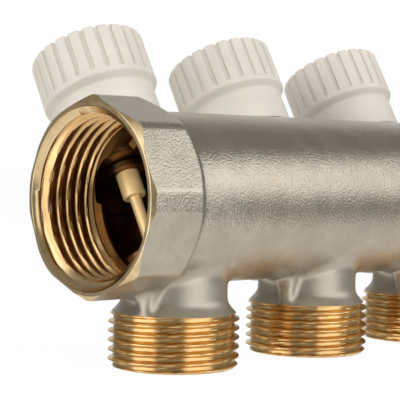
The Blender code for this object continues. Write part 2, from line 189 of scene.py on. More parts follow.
def spun(name, radii, heights, matrix, materials, slots=None, angles=None):
    """A closed solid turned about local Z, its end rows joined to the axis.

    `slots` gives the material index of each band between rows.
    """
    rows, columns = radii.shape
    if angles is None:
        angles = np.arange(columns) * math.tau / columns
    x, y = radii * np.cos(angles), radii * np.sin(angles)
    points = np.stack([x, y, heights], -1).reshape(-1, 3)
    first, last = len(points), len(points) + 1
    points = np.vstack([points, [[0, 0, heights[0].mean()], [0, 0, heights[-1].mean()]]])
    faces = grid_quads(rows, columns).tolist()
    end = (rows - 1) * columns
    faces += [[first, (j + 1) % columns, j] for j in range(columns)]
    faces += [[last, end + j, end + (j + 1) % columns] for j in range(columns)]
    if heights[-1].mean() < heights[0].mean():
        faces = [face[::-1] for face in faces]
    obj = new_object(name, points, faces, matrix, materials)
    if slots is not None:
        index = np.repeat(np.array([*slots, slots[0], slots[-1]], np.int32), columns)
        obj.data.polygons.foreach_set("material_index", index)
    return obj


def lathe(name, points, steps, matrix, materials, radius, count):
    """A profile that starts and ends on the axis, rounded and turned about local Z."""
    profile = rounded(points, radius, count)[1:-1]
    return spun(name, *revolved(profile, steps), matrix, materials)


def ring(name, loop, steps, matrix, materials, dark=None):
    """A closed (radius, height) loop turned about local Z.

    Faces between the two heights in `dark` take the second material.
    """
    loop = np.asarray(loop, float)
    after = np.roll(loop, -1, axis=0)
    if 0.5 * np.sum(loop[:, 0] * after[:, 1] - after[:, 0] * loop[:, 1]) < 0:
        loop = loop[::-1]
    angles = np.arange(steps)[:, None] * math.tau / steps
    points = np.stack([
        loop[None, :, 0] * np.cos(angles),
        loop[None, :, 0] * np.sin(angles),
        np.repeat(loop[None, :, 1], steps, 0),
    ], -1).reshape(-1, 3)
    faces = grid_quads(steps, len(loop), closed=True)[:, [0, 3, 2, 1]]
    obj = new_object(name, points, faces, matrix, materials)
    if dark is not None:
        middle = (loop[:, 1] + np.roll(loop[:, 1], -1)) / 2
        index = np.where((middle > dark[0]) & (middle < dark[1]), 1, 0).astype(np.int32)
        obj.data.polygons.foreach_set("material_index", np.tile(index, steps))
    return obj


def apply_modifiers(obj):
    bpy.context.view_layer.update()
    graph = bpy.context.evaluated_depsgraph_get()
    mesh = bpy.data.meshes.new_from_object(
        obj.evaluated_get(graph), preserve_all_data_layers=True, depsgraph=graph)
    old = obj.data
    obj.modifiers.clear()
    obj.data = mesh
    bpy.data.meshes.remove(old)


def combine(obj, others, operation):
    """Boolean obj with each of others in turn, then drop them."""
    for other in others:
        modifier = obj.modifiers.new("boolean", "BOOLEAN")
        modifier.operation = operation
        modifier.solver = "MANIFOLD"
        modifier.object = other
        modifier.material_mode = "TRANSFER"
        apply_modifiers(obj)
        mesh = other.data
        bpy.data.objects.remove(other, do_unlink=True)
        bpy.data.meshes.remove(mesh)


def put(obj, body, piece, angle=32.0):
    mesh = obj.data
    mesh.polygons.foreach_set("use_smooth", np.ones(len(mesh.polygons), bool))
    mesh.set_sharp_from_angle(angle=math.radians(angle))
    mesh.update()
    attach(obj, body)
    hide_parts(piece)


# ------------------------------------------------------------------ shader tools
class Nodes:
    """An emptied node tree; a value fed to a socket may be another socket."""

    def __init__(self, owner):
        owner.use_nodes = True
        self.tree = owner.node_tree
        self.tree.nodes.clear()

    def node(self, kind):
        return self.tree.nodes.new("ShaderNode" + kind)

    def feed(self, socket, value):
        if isinstance(value, bpy.types.NodeSocket):
            self.tree.links.new(value, socket)
        else:
            socket.default_value = value

    def mix_shaders(self, factor, first, second):
        node = self.node("MixShader")
        for i, value in enumerate((factor, first, second)):
            self.feed(node.inputs[i], value)
        return node.outputs[0]


class Material(Nodes):
    """A Principled material with short ways to add nodes."""

    def __init__(self, name):
        self.material = bpy.data.materials.new(name)
        super().__init__(self.material)
        self.output = self.node("OutputMaterial")
        self.principled = self.node("BsdfPrincipled")
        self.feed(self.output.inputs["Surface"], self.principled.outputs["BSDF"])

    def set(self, name, value):
        self.feed(self.principled.inputs[name], value)

    def coords(self, scale=(1, 1, 1), turn=0.0):
        """Row-frame coordinates in mm, turned about X and then stretched."""
        vector = self.node("TexCoord").outputs["Object"]
        for name, value in (("Rotation", (turn, 0, 0)), ("Scale", [1000 * s for s in scale])):
            node = self.node("Mapping")
            node.inputs[name].default_value = value
            self.feed(node.inputs["Vector"], vector)
            vector = node.outputs["Vector"]
        return vector

    def noise(self, vector, scale, detail=3.0, rough=0.6):
        node = self.node("TexNoise")
        node.inputs["Scale"].default_value = scale
        node.inputs["Detail"].default_value = detail
        node.inputs["Roughness"].default_value = rough
        self.feed(node.inputs["Vector"], vector)
        return node.outputs["Fac"]

    def pointiness(self):
        return self.node("NewGeometry").outputs["Pointiness"]

    def ramp(self, factor, stops):
        """Stops are (position, colour or grey)."""
        node = self.node("ValToRGB")
        elements = node.color_ramp.elements
        while len(elements) < len(stops):
            elements.new(0.5)
        for element, (position, colour) in zip(elements, stops):
            element.position = position
            if isinstance(colour, float):
                colour = (colour, colour, colour)
            element.color = (*colour, 1.0)
        self.feed(node.inputs["Fac"], factor)
        return node.outputs["Color"]

    def calc(self, operation, a, b):
        node = self.node("Math")
        node.operation = operation
        self.feed(node.inputs[0], a)
        self.feed(node.inputs[1], b)
        return node.outputs[0]

    def scaled(self, value, factor, offset):
        return self.calc("ADD", self.calc("MULTIPLY", value, factor), offset)

    def tint(self, base, where, none_at, full_at, amount, colour):
        """Mix `colour` over base, from nothing to `amount` between two values of `where`."""
        mask = self.ramp(where, sorted([(none_at, 0.0), (full_at, 1.0)]))
        factor = self.calc("MULTIPLY", mask, amount)
        node = self.node("Mix")
        node.data_type = "RGBA"
        self.feed(node.inputs[0], factor)
        self.feed(node.inputs[6], base)
        self.feed(node.inputs[7], (*colour, 1.0))
        return node.outputs[2]

    def bump(self, height, strength, distance, normal=None):
        """`distance` is in mm."""
        node = self.node("Bump")
        node.inputs["Strength"].default_value = strength
        node.inputs["Distance"].default_value = distance * MM
        self.feed(node.inputs["Height"], height)
        if normal is not None:
            self.feed(node.inputs["Normal"], normal)
        return node.outputs["Normal"]


# ------------------------------------------------------------------ materials
# Noise scales are per mm.
def nickel_material():
    """Nickel plate over a bead-blasted brass forging."""
    m = Material("nickel_forging")
    place = m.coords()
    grain = m.noise(place, scale=2.3, detail=2.0, rough=0.55)
    fine = m.noise(place, scale=4.2, detail=2.0)
    patch = m.noise(place, scale=0.16, detail=4.0)
    broad = m.noise(place, scale=0.055, rough=0.5)
    specks = m.noise(place, scale=1.1, rough=0.7)
    colour = m.ramp(patch, [(0.32, (0.43, 0.395, 0.335)), (0.55, (0.49, 0.455, 0.39)),
                            (0.75, (0.55, 0.515, 0.445))])
    # warm areas, dirt specks, painted highlights on edges, painted shade in hollows
    colour = m.tint(colour, broad, none_at=0.35, full_at=0.68, amount=0.35,
                    colour=(0.50, 0.42, 0.32))
    colour = m.tint(colour, specks, none_at=0.36, full_at=0.26, amount=0.30,
                    colour=(0.22, 0.19, 0.15))
    colour = m.tint(colour, m.pointiness(), none_at=0.50, full_at=0.56, amount=0.35,
                    colour=(0.66, 0.62, 0.54))
    colour = m.tint(colour, m.pointiness(), none_at=0.495, full_at=0.44, amount=0.5,
                    colour=(0.28, 0.25, 0.20))
    m.set("Base Color", colour)
    m.set("Metallic", 0.94)
    rough = m.scaled(patch, factor=0.10, offset=0.12)
    rough = m.calc("ADD", rough, m.calc("MULTIPLY", fine, 0.05))
    # the bar is grainier than the necks: 0 below 15 mm, 1 above 23 mm
    split = m.node("SeparateXYZ")
    m.feed(split.inputs[0], place)
    on_bar = m.ramp(m.calc("MULTIPLY", split.outputs["Z"], 0.02), [(0.30, 0.0), (0.46, 1.0)])
    normal = m.bump(grain, strength=0.0, distance=0.13)
    # the linked strength takes the place of the constant one
    m.feed(normal.node.inputs["Strength"], m.scaled(on_bar, factor=0.60, offset=0.15))
    normal = m.bump(fine, strength=0.60, distance=0.05, normal=normal)
    neck_extra = 0.20
    m.set("Roughness", m.calc("SUBTRACT", m.calc("ADD", rough, neck_extra),
                              m.calc("MULTIPLY", on_bar, neck_extra)))
    m.set("Normal", normal)
    return m.material


# stretched coordinates that turn noise into tool marks around an axis
MARKS_X = dict(scale=(1, 0.02, 0.02))
MARKS_Z = dict(scale=(0.02, 0.02, 1))
MARKS_VALVE = dict(scale=(0.02, 0.02, 1), turn=LEAN)


def brass_material(name, marks, colour, rough, dark=(0.42, 0.22, 0.08), metallic=1.0):
    """Turned brass: fine tool marks, faint tarnish, painted shade in hollows and painted
    highlights on edges.
    """
    m = Material(name)
    place = m.coords()
    tool = m.noise(m.coords(**marks), scale=9.0, detail=4.0, rough=0.7)
    tarnish = m.noise(place, scale=0.22, detail=4.0, rough=0.62)
    spots = m.noise(place, scale=1.6)
    darker = tuple(c * 0.80 for c in colour)
    lighter = tuple(min(1.0, c * 1.08) for c in colour)
    base = m.ramp(tarnish, [(0.30, darker), (0.55, colour), (0.80, lighter)])
    # dark tool lines, painted shade in hollows, painted highlights on edges
    base = m.tint(base, tool, none_at=0.50, full_at=0.30, amount=0.22, colour=dark)
    base = m.tint(base, m.pointiness(), none_at=0.50, full_at=0.42, amount=0.55, colour=dark)
    base = m.tint(base, m.pointiness(), none_at=0.52, full_at=0.60, amount=0.40,
                  colour=(0.98, 0.84, 0.62))
    m.set("Base Color", base)
    m.set("Metallic", metallic)
    roughness = m.scaled(spots, factor=0.10, offset=rough)
    roughness = m.calc("ADD", roughness, m.calc("MULTIPLY", tarnish, 0.08))
    m.set("Roughness", roughness)
    normal = m.bump(tool, strength=0.25, distance=0.03)
    m.set("Normal", m.bump(spots, strength=0.06, distance=0.05, normal=normal))
    return m.material


def steel_material():
    """Stainless steel with faint streaks along the valve axis."""
    m = Material("stainless")
    place = m.coords()
    streaks = m.noise(m.coords(scale=(1, 1, 0.03), turn=LEAN), scale=6.0, detail=4.0, rough=0.7)
    spots = m.noise(place, scale=0.9)
    m.set("Base Color", m.ramp(streaks, [(0.3, (0.50, 0.50, 0.51)), (0.7, (0.70, 0.70, 0.71))]))
    m.set("Metallic", 1.0)
    m.set("Roughness", m.scaled(spots, factor=0.12, offset=0.18))
    m.set("Normal", m.bump(streaks, strength=0.15, distance=0.02))
    return m.material


def rubber_material():
    """Black rubber with a paler bloom."""
    m = Material("black_rubber")
    place = m.coords()
    grain = m.noise(place, scale=5.0)
    bloom = m.noise(place, scale=0.35)
    m.set("Base Color", m.ramp(bloom, [(0.35, (0.012, 0.012, 0.013)),
                                       (0.75, (0.040, 0.040, 0.042))]))
    m.set("Roughness", m.scaled(grain, factor=0.18, offset=0.42))
    m.set("Normal", m.bump(grain, strength=0.25, distance=0.04))
    return m.material


def plastic_material():
    """White moulded plastic with a faint spark-eroded grain."""
    m = Material("white_plastic")
    place = m.coords()
    grain = m.noise(place, scale=4.2)
    cloud = m.noise(place, scale=0.10, rough=0.5)
    colour = m.ramp(cloud, [(0.30, (0.60, 0.575, 0.53)), (0.70, (0.65, 0.62, 0.575))])
    # painted shade in hollows
    colour = m.tint(colour, m.pointiness(), none_at=0.50, full_at=0.44, amount=0.18,
                    colour=(0.50, 0.455, 0.40))
    m.set("Base Color", colour)
    m.set("Roughness", m.scaled(grain, factor=0.14, offset=0.36))
    m.set("Subsurface Weight", 0.18)
    m.set("Subsurface Radius", (1.0, 0.85, 0.7))
    m.set("Subsurface Scale", 0.0015)
    m.set("Normal", m.bump(grain, strength=0.18, distance=0.03))
    return m.material


NICKEL = nickel_material()
BRASS_BAR = brass_material("bare_brass_bar", MARKS_X, colour=(0.86, 0.66, 0.38),
                           dark=(0.34, 0.17, 0.06), rough=0.13)
BRASS_OUTLET = brass_material("bare_brass_outlet", MARKS_Z, colour=(0.80, 0.55, 0.25),
                              dark=(0.36, 0.17, 0.05), rough=0.13)
BRASS_VALVE = brass_material("bare_brass_valve", MARKS_VALVE, colour=(0.93, 0.70, 0.37),
                             rough=0.30, metallic=0.6)
# a darker copy of the brass, as painted shade on the insert, the guide's collar and the disc
BRASS_SHADED_PARTS = brass_material("shaded_brass_parts", MARKS_VALVE, colour=(0.34, 0.17, 0.06),
                              dark=(0.12, 0.04, 0.01), rough=0.26)
BRASS_THREAD = brass_material("bare_brass_thread", MARKS_X, colour=(0.80, 0.52, 0.24),
                              dark=(0.20, 0.08, 0.02), rough=0.12)
# a darker copy of the brass, as painted shade inside the bores
BRASS_SHADED_BORES = brass_material("shaded_brass_bores", MARKS_X, colour=(0.26, 0.12, 0.035),
                              dark=(0.10, 0.035, 0.008), rough=0.24)
STEEL = steel_material()
RUBBER = rubber_material()
PLASTIC = plastic_material()


# ------------------------------------------------------------------ forging
# Each shape is a distance field, negative inside. soft_min joins two shapes and
# soft_max keeps what they share; `blend` is the width of the rounding in mm.
CHAMBER_R = 11.25


def soft_min(a, b, blend):
    share = np.clip(0.5 + 0.5 * (b - a) / blend, 0, 1)
    return b + (a - b) * share - blend * share * (1 - share)


def soft_max(a, b, blend):
    return -soft_min(-a, -b, blend)


def octagon_field(x, y, z):
    """Octagon with rounded corners, its +X side turned to a 45 degree cone."""
    cone_x = 12.7                      # where the cone passes the flats
    y_off, z_off = y - OCT_SHIFT[0], z - OCT_SHIFT[1]
    radius = np.hypot(y_off, z_off)
    fold = (np.arctan2(z_off, y_off) + math.pi) % (math.pi / 4) - math.pi / 8
    out, side = radius * np.cos(fold), np.abs(radius * np.sin(fold))
    inner = OCT_A - OCT_ROUND
    half_flat = inner * math.tan(math.pi / 8)
    field = np.where(side <= half_flat, out - inner,
                     np.hypot(out - inner, side - half_flat)) - OCT_ROUND
    field = soft_max(field, -y - OCT_LAND, 0.15)
    field = soft_max(field, ((radius - OCT_A) + (x - cone_x)) * 0.7071, 0.2)
    field = soft_max(field, x - 15.0, 0.3)
    return soft_max(field, -1.2 - x, 0.3)


def add_chamber(field, x, y, z):
    """Leaning valve chamber; x is measured from its outlet."""
    height = (y - VALVE_Y) * LEAN_SIN + z * LEAN_COS
    radius = np.hypot(x, (y - VALVE_Y) * LEAN_COS - z * LEAN_SIN)
    chamber = soft_max(radius - CHAMBER_R, height - 10.85, 0.5)
    chamber = soft_max(chamber, -16.2 - height, 2.0)
    field = soft_min(field, chamber, 2.6)
    # room for the closed cap's lower edge, where it passes the octagon's corner
    room = np.maximum(radius - CHAMBER_R, 11.15 - height)
    return soft_max(field, -room, 0.12)


def add_neck(field, x, y, z):
    """Outlet neck: narrow, then opening at 45 degrees down to the collar."""
    neck_r, flare_r, bend = 10.40, 12.45, 0.42
    wall = neck_r + bend * np.logaddexp(0, (FLARE_Z - z) / bend)
    neck = (np.hypot(x, y) - np.minimum(wall, flare_r)) * 0.8
    neck = soft_max(neck, z + 9.0, 0.8)
    neck = soft_max(neck, (COLLAR_Z - 0.9) - z, 0.12)
    return soft_min(field, neck, 1.8)


def add_fin(field, x, y, z):
    """Fin on the -X side of the neck, narrowing downward."""
    turn_x, turn_y = math.cos(FIN_TURN), math.sin(FIN_TURN)
    along = x * turn_x + y * turn_y
    across = np.abs(-x * turn_y + y * turn_x)
    half_width = 1.15 + 0.20 * (z - COLLAR_Z)
    reach = 12.35 + 0.05 * (z + 21.0)
    fin = soft_max(across - half_width, along - reach, 1.5)
    fin = soft_max(fin, 6.0 - along, 0.5)
    fin = soft_max(fin, (COLLAR_Z + 0.2) - z, 0.8)
    fin = soft_max(fin, z + 11.0, 0.5)
    return soft_min(field, fin, 1.5)


def forging():
    """The plated outside of the bar as a smooth closed mesh."""
    xs = np.arange(-1.5, 119.5, GRID, dtype=np.float32)
    ys = np.arange(-21.5, 30.0, GRID, dtype=np.float32)
    zs = np.arange(-26.5, 21.5, GRID, dtype=np.float32)
    x, y, z = xs[:, None, None], ys[None, :, None], zs[None, None, :]

    field = soft_max(np.hypot(y, z) - BAR_R, x - (SHOULDER_X - 0.2), 0.6)
    field = soft_max(field, 7.0 - x, 0.5)
    field = soft_min(field, octagon_field(x, y, z), 0.35)
    for outlet_x in OUTLETS:
        field = add_chamber(field, x - outlet_x, y, z)
        field = add_neck(field, x - outlet_x, y, z)
        field = add_fin(field, x - outlet_x, y, z)

    grid = openvdb.FloatGrid(1.0)
    band = 3 * GRID
    grid.background = band
    grid.copyFromArray(np.ascontiguousarray(np.clip(field, -band, band).astype(np.float32)))
    points, quads = grid.convertToQuads(0.0)
    points = np.asarray(points, float) * GRID + np.array([xs[0], ys[0], zs[0]])
    quads = np.asarray(quads)
    a, b, c = points[quads[:, 0]], points[quads[:, 1]], points[quads[:, 2]]
    if np.einsum("ij,ij->i", a, np.cross(b, c)).sum() < 0:     # faces point inward
        quads = quads[:, ::-1]
    return new_object("manifold_bar_forging", points, np.ascontiguousarray(quads), BASE, [NICKEL])


# ------------------------------------------------------------------ machined bar
TURNS = np.arange(STEPS)[None, :] / STEPS


def front_turning():
    """What the inlet end is cut back to: flat face, chamfered octagon corners."""
    profile = rounded([(60, 150.0), (60, 33.6), (18.08, 0.03), (17.85, 0.0)],
                      [0, 0, 0.08, 0], 4)
    profile = np.vstack([profile, [[8.0, 0.0]]])
    return spun("front_turning", *revolved(profile, STEPS), ALONG, [BRASS_BAR])


def far_end():
    """Shoulder, O-ring groove and the joining thread."""
    root_r, start = 15.2, SHOULDER_X + 5.6
    # radius, distance along the bar
    neck = rounded([(16.0, SHOULDER_X - 3.0), (16.0, SHOULDER_X - 0.9),
                    (17.6, SHOULDER_X + 0.6), (17.6, SHOULDER_X + 3.0),
                    (root_r, SHOULDER_X + 3.0), (root_r, start)], 0.15, 4)[:-1]
    x = np.linspace(start, END_X, int((END_X - start) / G1_PITCH * PER_TURN))[:, None]
    height = screw_thread((x - start) / G1_PITCH - TURNS)
    thread = G1_MINOR + (G1_MAJOR - G1_MINOR) * height * np.clip(0.2 + (x - x[0]) / 1.2, 0, 1)
    thread = np.minimum(thread, root_r + (END_X - x))          # chamfer at the tip
    radii, along = joined(revolved(neck, STEPS), (thread, x))
    return spun("far_end", radii[::-1], along[::-1], ALONG, [BRASS_BAR])


def outlet_trim(number, x):
    """Cut that leaves a turned edge at the foot of the plated flare."""
    top, bottom, wide = COLLAR_Z - 0.30, OUT_Z - 2, 16.5
    return lathe("trim_%d" % number,
                 [(0, top), (11.9, top), (12.6, COLLAR_Z), (wide, COLLAR_Z),
                  (wide, bottom), (0, bottom)],
                 STEPS, outlet_frame(x), [BRASS_OUTLET], radius=0.05, count=3)


def outlet_collar(number, x):
    """Threaded plug from the flare down to the outlet face."""
    start, tip_r = COLLAR_Z - 0.20, 11.95
    z = np.linspace(start, OUT_Z, int((start - OUT_Z) / G34_PITCH * PER_TURN) + 1)[:, None]
    height = screw_thread((start - z) / G34_PITCH + TURNS, crest=0.12, root=0.34)
    fade = np.clip(0.15 + np.clip((start - z) / 0.7, 0, 1), 0, 1)
    thread = G34_MINOR + (G34_MAJOR - G34_MINOR) * height * fade
    thread = np.minimum(thread, tip_r + (z - OUT_Z))
    top = [(G34_MINOR - 1.9, start + 1.2), (G34_MINOR, start + 0.05)]
    return spun("collar_%d" % number, *joined(revolved(top, STEPS), (thread, z)),
                outlet_frame(x), [BRASS_OUTLET])


def water_way():
    """Bore through the whole bar, with the inlet thread."""
    start, end = 1.3, 13.3             # inlet thread
    lead_r, lead_x = 17.15, 0.25       # widest point of the lead-in cone
    # radius, distance along the bar
    head = rounded([(17.3, -3.0), (17.3, 0.0), (lead_r, lead_x), (16.0, start)],
                   [0, 0.1, 0.1, 0], 3)[:-1]
    tail = rounded([(G1_MINOR, 13.35), (G1_MINOR, 13.6), (14.45, 15.0), (14.45, 18.0),
                    (13.0, 18.6), (13.0, SHOULDER_X - 3.0), (12.4, SHOULDER_X - 2.2),
                    (12.4, END_X - 0.7), (13.0, END_X - 0.1), (13.2, END_X + 3.0)], 0.2, 4)
    x = np.linspace(start, end, int((end - start) / G1_PITCH * PER_TURN))[:, None]
    height = screw_thread((x - start) / G1_PITCH - TURNS + 0.65, crest=0.20, root=0.08)
    fade = np.clip((end - x) / 1.4, 0, 1)
    thread = G1_MINOR + (G1_MAJOR - G1_MINOR) * height * fade
    thread = np.maximum(thread, lead_r - (x - lead_x) * 1.05)
    radii, along = joined(revolved(head, STEPS), (thread, x), revolved(tail, STEPS))
    middle = (along[1:, 0] + along[:-1, 0]) / 2
    # lead-in, thread, relief, then the inside in painted shade
    slots = np.where(middle < 1.9, 0,
                     np.where(middle < 13.5, 1, np.where(middle < 15.0, 0, 2)))
    return spun("water_way", radii[::-1], along[::-1], ALONG,
                [BRASS_BAR, BRASS_THREAD, BRASS_SHADED_BORES], slots[::-1])


def chamber_bore(number, x):
    """Stepped bore down the valve axis."""
    profile = rounded([(9.2, 14.0), (9.2, 10.9), (8.5, 10.2), (8.5, 0.0), (7.4, -0.8),
                       (7.4, -19.0), (5.1, -19.0), (4.8, -19.35), (4.8, -27.0)],
                      [0, 0.1, 0.1, 0.3, 0.3, 0.4, 0.1, 0.1, 0], 4)
    # its walls take the brass with painted shade
    return spun("chamber_%d" % number, *revolved(profile, STEPS // 2),
                valve_frame(x), [BRASS_SHADED_BORES])


def outlet_bore(number, x):
    profile = rounded([(2.0, -17.6), (7.6, -20.4), (7.6, OUT_Z + 4.4), (9.4, OUT_Z + 0.1),
                       (9.6, OUT_Z - 0.1), (9.6, OUT_Z - 3.0)], 0.2, 4)
    return spun("outlet_bore_%d" % number, *revolved(profile, STEPS // 2),
                outlet_frame(x), [BRASS_OUTLET])


def build_bar():
    numbered = list(enumerate(OUTLETS, 1))
    body = forging()
    combine(body, [front_turning()], "INTERSECT")
    additions = [far_end()]
    combine(body, [outlet_trim(number, x) for number, x in numbered], "DIFFERENCE")
    additions += [outlet_collar(number, x) for number, x in numbered]
    combine(body, additions, "UNION")
    cuts = [water_way()]
    for number, x in numbered:
        cuts += [chamber_bore(number, x), outlet_bore(number, x)]
    combine(body, cuts, "DIFFERENCE")
    put(body, "manifold", "manifold_bar", 35)


# ------------------------------------------------------------------ cap
# Radii and heights along the valve axis.
FLUTES = 24
FLUTE_DEEP = 0.5
FLUTE_TURNS = (2.6, 1.1, 8.7)          # degrees each cap is screwed round
FLUTE_DIP = 0.22                       # how far a flute lowers the top edge
CAP_R, SKIRT_R = 12.05, 10.88
CAP_LOW, UNDER, FLANGE, CAP_TOP = 13.92, 21.5, 22.7, 33.62
CAP_TAPER, CAP_ROUND = 0.08, 0.7
# where the columns fall in half a flute, gathered at the groove's wall
HALF_FLUTE = np.array([0.0, 0.06, 0.105, 0.125, 0.140, 0.155, 0.170, 0.190, 0.215,
                       0.26, 0.33, 0.41])


def cap_mesh(name, matrix, turn):
    """The cap as one skin: post, roof, thread, skirt, flange, flutes, top."""
    half = HALF_FLUTE
    share = np.sort(np.concatenate([half, 1.0 - half[:0:-1], [0.5]]))
    columns = FLUTES * len(share)
    angles = (np.arange(FLUTES)[:, None] + share) * math.tau / FLUTES
    angles = angles.ravel() + math.radians(turn)
    groove = np.tile(ease((0.195 - np.minimum(share, 1 - share)) / 0.085), FLUTES)

    # inside: post, roof and wall, which the thread stations split in two
    wall_r, thread_top, thread_low = 8.75, 31.0, 17.6
    inner = rounded([(0.01, 27.05), (3.15, 27.05), (3.15, 31.55), (wall_r, 31.55),
                     (wall_r, 17.2), (9.9, 16.7), (9.9, 14.4), (10.1, CAP_LOW)],
                    [0, 0.3, 0.6, 0.8, 0.2, 0.2, 0.2, 0])
    above = inner[:, 1] > 20
    z = np.linspace(thread_top, thread_low, 12 * FINE_STATIONS)[:, None]
    fade = np.clip(np.minimum((thread_top - z) / 0.8, (z - thread_low) / 0.8), 0, 1)
    height = screw_thread(z / CAP_PITCH - angles / math.tau, crest=0.2, root=0.2)
    thread = wall_r - 0.38 * height * fade

    # skirt and flange
    outer = rounded([(10.1, CAP_LOW), (SKIRT_R - 0.1, CAP_LOW), (SKIRT_R, CAP_LOW + 0.4),
                     (SKIRT_R, UNDER), (CAP_R - 0.1, FLANGE), (CAP_R, FLANGE + 0.3),
                     (CAP_R, FLANGE + 0.75)], [0, 0.08, 0.3, 0.35, 0.12, 0.2, 0])[1:]

    # fluted wall
    low = FLANGE + 0.95
    wall_z = np.concatenate([np.linspace(low, low + 0.75, 9),
                             np.linspace(low + 1.2, CAP_TOP - CAP_ROUND - 0.3, 10)])[:, None]
    taper = (wall_z - FLANGE) / (CAP_TOP - FLANGE) * CAP_TAPER
    wall = CAP_R - taper - FLUTE_DEEP * ease((wall_z - low) / 0.65) * groove

    # rounded edge, then two rows where the flutes run out
    rim = CAP_R - CAP_TAPER - CAP_ROUND
    bend = np.linspace(0, math.pi / 2, 9)[:, None]
    edge = rim + CAP_ROUND * np.cos(bend) - FLUTE_DEEP * groove * (1.0 - 0.25 * np.sin(bend))
    edge_z = CAP_TOP - CAP_ROUND + CAP_ROUND * np.sin(bend) - FLUTE_DIP * np.sin(bend) * groove
    inward = np.array([[0.35], [0.7]])
    runout = rim - inward - FLUTE_DEEP * groove * 0.75 * (1 - inward)
    runout_z = CAP_TOP - FLUTE_DIP * groove * (1 - inward / 0.7)

    # shallow dish in the top
    top = rounded([(rim - 1.0, CAP_TOP), (8.6, CAP_TOP), (8.2, CAP_TOP - 0.35),
                   (1.4, CAP_TOP - 0.35), (1.1, CAP_TOP - 0.5), (0.3, CAP_TOP - 0.5)],
                  [0, 0.2, 0.2, 0.15, 0.15, 0], 4)
    skin = joined(revolved(inner[above], columns), (thread, z),
                  revolved(inner[~above], columns), revolved(outer, columns),
                  (wall, wall_z), (edge, edge_z), (runout, runout_z), revolved(top, columns))
    return spun(name, *skin, matrix, [PLASTIC], angles=angles)


# ------------------------------------------------------------------ insert and spring
# The insert's outline as (radius, height) runs, from the spring well outward and down.
INSERT_TUBE = [(1.62, 10.5), (1.62, 11.6), (1.9, 12.05), (5.0, 12.05), (5.2, 12.3),
               (5.2, 25.5), (5.6, 25.95), (7.3, 25.95), (7.55, 25.7)]
INSERT_NECK = [(7.2, 14.2), (7.2, 13.62), (8.1, 13.58)]
INSERT_HEX = [(8.9, 13.45), (9.5, 13.1), (9.5, 12.2), (8.9, 11.8)]     # radius limits
INSERT_GROOVE = [(8.1, 11.66), (6.85, 11.62), (6.85, 10.35)]
INSERT_FOOT = [(7.5, 7.1), (7.2, 7.02), (3.0, 7.02), (2.75, 7.25), (2.75, 10.35), (1.62, 10.4)]
HEX_FLAT = 8.27                        # across flats / 2


def insert_mesh(name, matrix):
    """Brass insert: body thread, hexagon, and the tube's outer thread."""
    columns = 144
    turns = np.arange(columns) / columns
    angles = np.arange(columns) * math.tau / columns
    hexagon = HEX_FLAT / np.cos((angles + math.pi / 6) % (math.pi / 3) - math.pi / 6)
    hex_limit, hex_z = revolved(INSERT_HEX, columns)

    def thread(z, root_r, deep):
        return root_r + deep * screw_thread(z / CAP_PITCH - turns, crest=0.15, root=0.15)

    tube_z = np.linspace(25.6, 14.3, 11 * FINE_STATIONS)[:, None]
    tube = thread(tube_z, 7.25, 0.73 * np.clip((tube_z - 14.3) / 1.0, 0, 1))
    tube = np.minimum(tube, 7.55 + (25.7 - tube_z))
    body_z = np.linspace(10.0, 7.3, 3 * FINE_STATIONS)[:, None]
    radii, heights = joined(
        revolved(INSERT_TUBE, columns), (tube, tube_z), revolved(INSERT_NECK, columns),
        (np.minimum(hexagon, hex_limit), hex_z), revolved(INSERT_GROOVE, columns),
        (thread(body_z, 7.6, 0.58), body_z), revolved(INSERT_FOOT, columns))
    points = np.stack([radii * np.cos(angles), radii * np.sin(angles), heights], -1)
    faces = grid_quads(len(radii), columns, closed=True)[:, [0, 3, 2, 1]]
    # the insert takes the brass with painted shade
    return new_object(name, points.reshape(-1, 3), faces, matrix, [BRASS_SHADED_PARTS])


def coil_mesh(name, matrix):
    """Compression spring with its end coils closed up."""
    wire, coil_r, turns = 0.42, 3.5, 5.6
    low, high = 12.3 + wire, 23.4 - wire
    count = int(turns * (48))
    sides = 14
    t = np.linspace(0, 1, count)
    # the rise eases in and out over the end coils
    end = 0.75 / turns
    rise = np.where(t < end, 0.5 * (t / end) ** 2 * end,
                    np.where(t > 1 - end, (1 - end) - 0.5 * end * ((1 - t) / end) ** 2,
                             t - end / 2))
    rise = (rise - rise[0]) / (rise[-1] - rise[0])
    angles = t * turns * math.tau
    outward = np.stack([np.cos(angles), np.sin(angles), np.zeros(count)], -1)
    centre = coil_r * outward
    centre[:, 2] = low + (high - low) * rise
    forward = np.gradient(centre, axis=0)
    forward /= np.linalg.norm(forward, axis=1)[:, None]
    across = np.cross(forward, outward)
    across /= np.linalg.norm(across, axis=1)[:, None]
    around = (np.arange(sides) * math.tau / sides)[None, :, None]
    points = centre[:, None, :] + wire * (np.cos(around) * outward[:, None, :]
                                          + np.sin(around) * across[:, None, :])
    faces = grid_quads(count, sides).tolist()
    faces.append(list(range(sides))[::-1])
    faces.append([(count - 1) * sides + i for i in range(sides)])
    obj = new_object(name, points.reshape(-1, 3), faces, matrix, [STEEL])
    mesh = bmesh.new()
    mesh.from_mesh(obj.data)
    bmesh.ops.recalc_face_normals(mesh, faces=mesh.faces)
    mesh.to_mesh(obj.data)
    mesh.free()
    return obj


